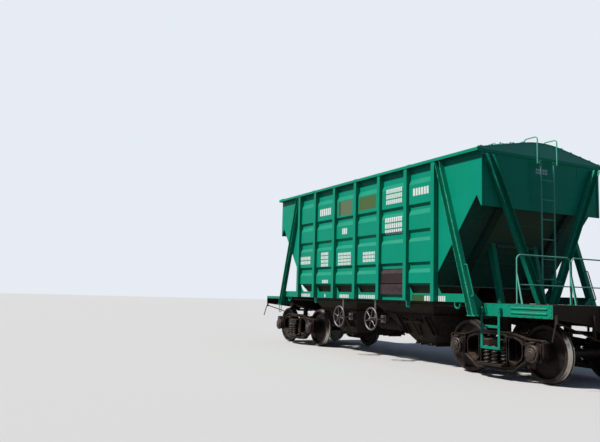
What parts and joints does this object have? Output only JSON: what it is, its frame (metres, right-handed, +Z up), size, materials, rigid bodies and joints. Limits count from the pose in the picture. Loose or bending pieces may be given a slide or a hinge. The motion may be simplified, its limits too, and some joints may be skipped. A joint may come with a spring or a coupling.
{
  "type": "covered hopper wagon",
  "caption": "Four-axle covered hopper wagon for powders: ribbed sides, sloping end floors, four roof hatches, bottom outlets with flaps, two swivelling bogies and end platforms.",
  "frame": {"origin": "middle of the footprint, on the floor that the wheel flanges stand on", "axes": "+X along the wagon towards its platform end with the railing, +Y to its left, +Z up"},
  "size_m": [12.02, 3.22, 4.46],
  "materials": {
    "body_paint": "sun-faded green enamel, satin",
    "dusty_paint": "dark paint under cement dust, matt",
    "underframe_paint": "black-brown, grimy, matt",
    "cast_steel": "rusty brown casting with dust",
    "wheel_steel": "rolled steel, bright treads, dark discs",
    "worn_iron": "dark iron with rims worn bright"
  },
  "bodies": {
    "wagon_body": {"air_reservoir": "underframe_paint", "body_bolster_a": "underframe_paint", "body_bolster_b": "underframe_paint", "brake_cylinder": "underframe_paint", "centre_sill": "underframe_paint", "corner_brace_a_left": "body_paint", "corner_brace_a_right": "body_paint", "corner_brace_b_left": "body_paint", "corner_brace_b_right": "body_paint", "corner_step_a_left": "body_paint", "corner_step_a_right": "body_paint", "corner_step_b_left": "body_paint", "corner_step_b_right": "body_paint", "coupler_a": "underframe_paint", "coupler_b": "underframe_paint", "end_floor_a": "dusty_paint", "end_floor_b": "dusty_paint", "end_ladder": "body_paint", "end_struts_a_left": "body_paint", "end_struts_a_right": "body_paint", "end_struts_b_left": "body_paint", "end_struts_b_right": "body_paint", "end_wall_a": "body_paint", "end_wall_b": "body_paint", "hand_wheels_left": "worn_iron", "hand_wheels_right": "worn_iron", "lower_hopper_a": "dusty_paint", "lower_hopper_b": "dusty_paint", "platform_a": "underframe_paint", "platform_b": "underframe_paint", "railing": "body_paint", "roof_bay_1": "body_paint", "roof_bay_2": "body_paint", "roof_bay_3": "body_paint", "roof_bay_4": "body_paint", "running_board": "body_paint", "side_sill_left": "body_paint", "side_sill_right": "body_paint", "side_wall_left": "body_paint", "side_wall_right": "body_paint", "sill_saddle": "dusty_paint"},
    "bogie_a": {"bogie_a_bolster": "cast_steel", "bogie_a_frame_left": "cast_steel", "bogie_a_frame_right": "cast_steel"},
    "bogie_b": {"bogie_b_bolster": "cast_steel", "bogie_b_frame_left": "cast_steel", "bogie_b_frame_right": "cast_steel"},
    "axle_1": {"wheelset_1": "wheel_steel"},
    "axle_2": {"wheelset_2": "wheel_steel"},
    "axle_3": {"wheelset_3": "wheel_steel"},
    "axle_4": {"wheelset_4": "wheel_steel"},
    "hatch_1": {"hatch_lid_1": "body_paint"},
    "hatch_2": {"hatch_lid_2": "body_paint"},
    "hatch_3": {"hatch_lid_3": "body_paint"},
    "hatch_4": {"hatch_lid_4": "body_paint"},
    "outlet_a_right": {"outlet_flap_a_right": "dusty_paint"},
    "outlet_a_left": {"outlet_flap_a_left": "dusty_paint"},
    "outlet_b_right": {"outlet_flap_b_right": "dusty_paint"},
    "outlet_b_left": {"outlet_flap_b_left": "dusty_paint"}
  },
  "joints": [
    {"name": "bogie_a_swivel", "type": "hinge", "parent": "wagon_body", "child": "bogie_a", "pos_m": [3.9, 0, 0.8], "axis": [0, 0, 1], "range_deg": [-5, 5]},
    {"name": "bogie_b_swivel", "type": "hinge", "parent": "wagon_body", "child": "bogie_b", "pos_m": [-3.9, 0, 0.8], "axis": [0, 0, 1], "range_deg": [-5, 5]},
    {"name": "axle_1_turn", "type": "hinge", "parent": "bogie_a", "child": "axle_1", "pos_m": [4.825, 0, 0.503], "axis": [0, 1, 0], "continuous": true},
    {"name": "axle_2_turn", "type": "hinge", "parent": "bogie_a", "child": "axle_2", "pos_m": [2.975, 0, 0.503], "axis": [0, 1, 0], "continuous": true},
    {"name": "axle_3_turn", "type": "hinge", "parent": "bogie_b", "child": "axle_3", "pos_m": [-2.975, 0, 0.503], "axis": [0, 1, 0], "continuous": true},
    {"name": "axle_4_turn", "type": "hinge", "parent": "bogie_b", "child": "axle_4", "pos_m": [-4.825, 0, 0.503], "axis": [0, 1, 0], "continuous": true},
    {"name": "hatch_1_open", "type": "hinge", "parent": "wagon_body", "child": "hatch_1", "pos_m": [-3.06, 0.376, 4.414], "axis": [-1, 0, 0], "range_deg": [0, 105]},
    {"name": "hatch_2_open", "type": "hinge", "parent": "wagon_body", "child": "hatch_2", "pos_m": [-1.02, 0.376, 4.414], "axis": [-1, 0, 0], "range_deg": [0, 105]},
    {"name": "hatch_3_open", "type": "hinge", "parent": "wagon_body", "child": "hatch_3", "pos_m": [1.02, 0.376, 4.414], "axis": [-1, 0, 0], "range_deg": [0, 105]},
    {"name": "hatch_4_open", "type": "hinge", "parent": "wagon_body", "child": "hatch_4", "pos_m": [3.06, 0.376, 4.414], "axis": [-1, 0, 0], "range_deg": [0, 105]},
    {"name": "outlet_a_right_open", "type": "hinge", "parent": "wagon_body", "child": "outlet_a_right", "pos_m": [1.535, -0.77, 0.417], "axis": [-1, 0, 0], "range_deg": [0, 38]},
    {"name": "outlet_a_left_open", "type": "hinge", "parent": "wagon_body", "child": "outlet_a_left", "pos_m": [1.535, 0.77, 0.417], "axis": [1, 0, 0], "range_deg": [0, 38]},
    {"name": "outlet_b_right_open", "type": "hinge", "parent": "wagon_body", "child": "outlet_b_right", "pos_m": [-1.535, -0.77, 0.417], "axis": [-1, 0, 0], "range_deg": [0, 38]},
    {"name": "outlet_b_left_open", "type": "hinge", "parent": "wagon_body", "child": "outlet_b_left", "pos_m": [-1.535, 0.77, 0.417], "axis": [1, 0, 0], "range_deg": [0, 38]}
  ]
}
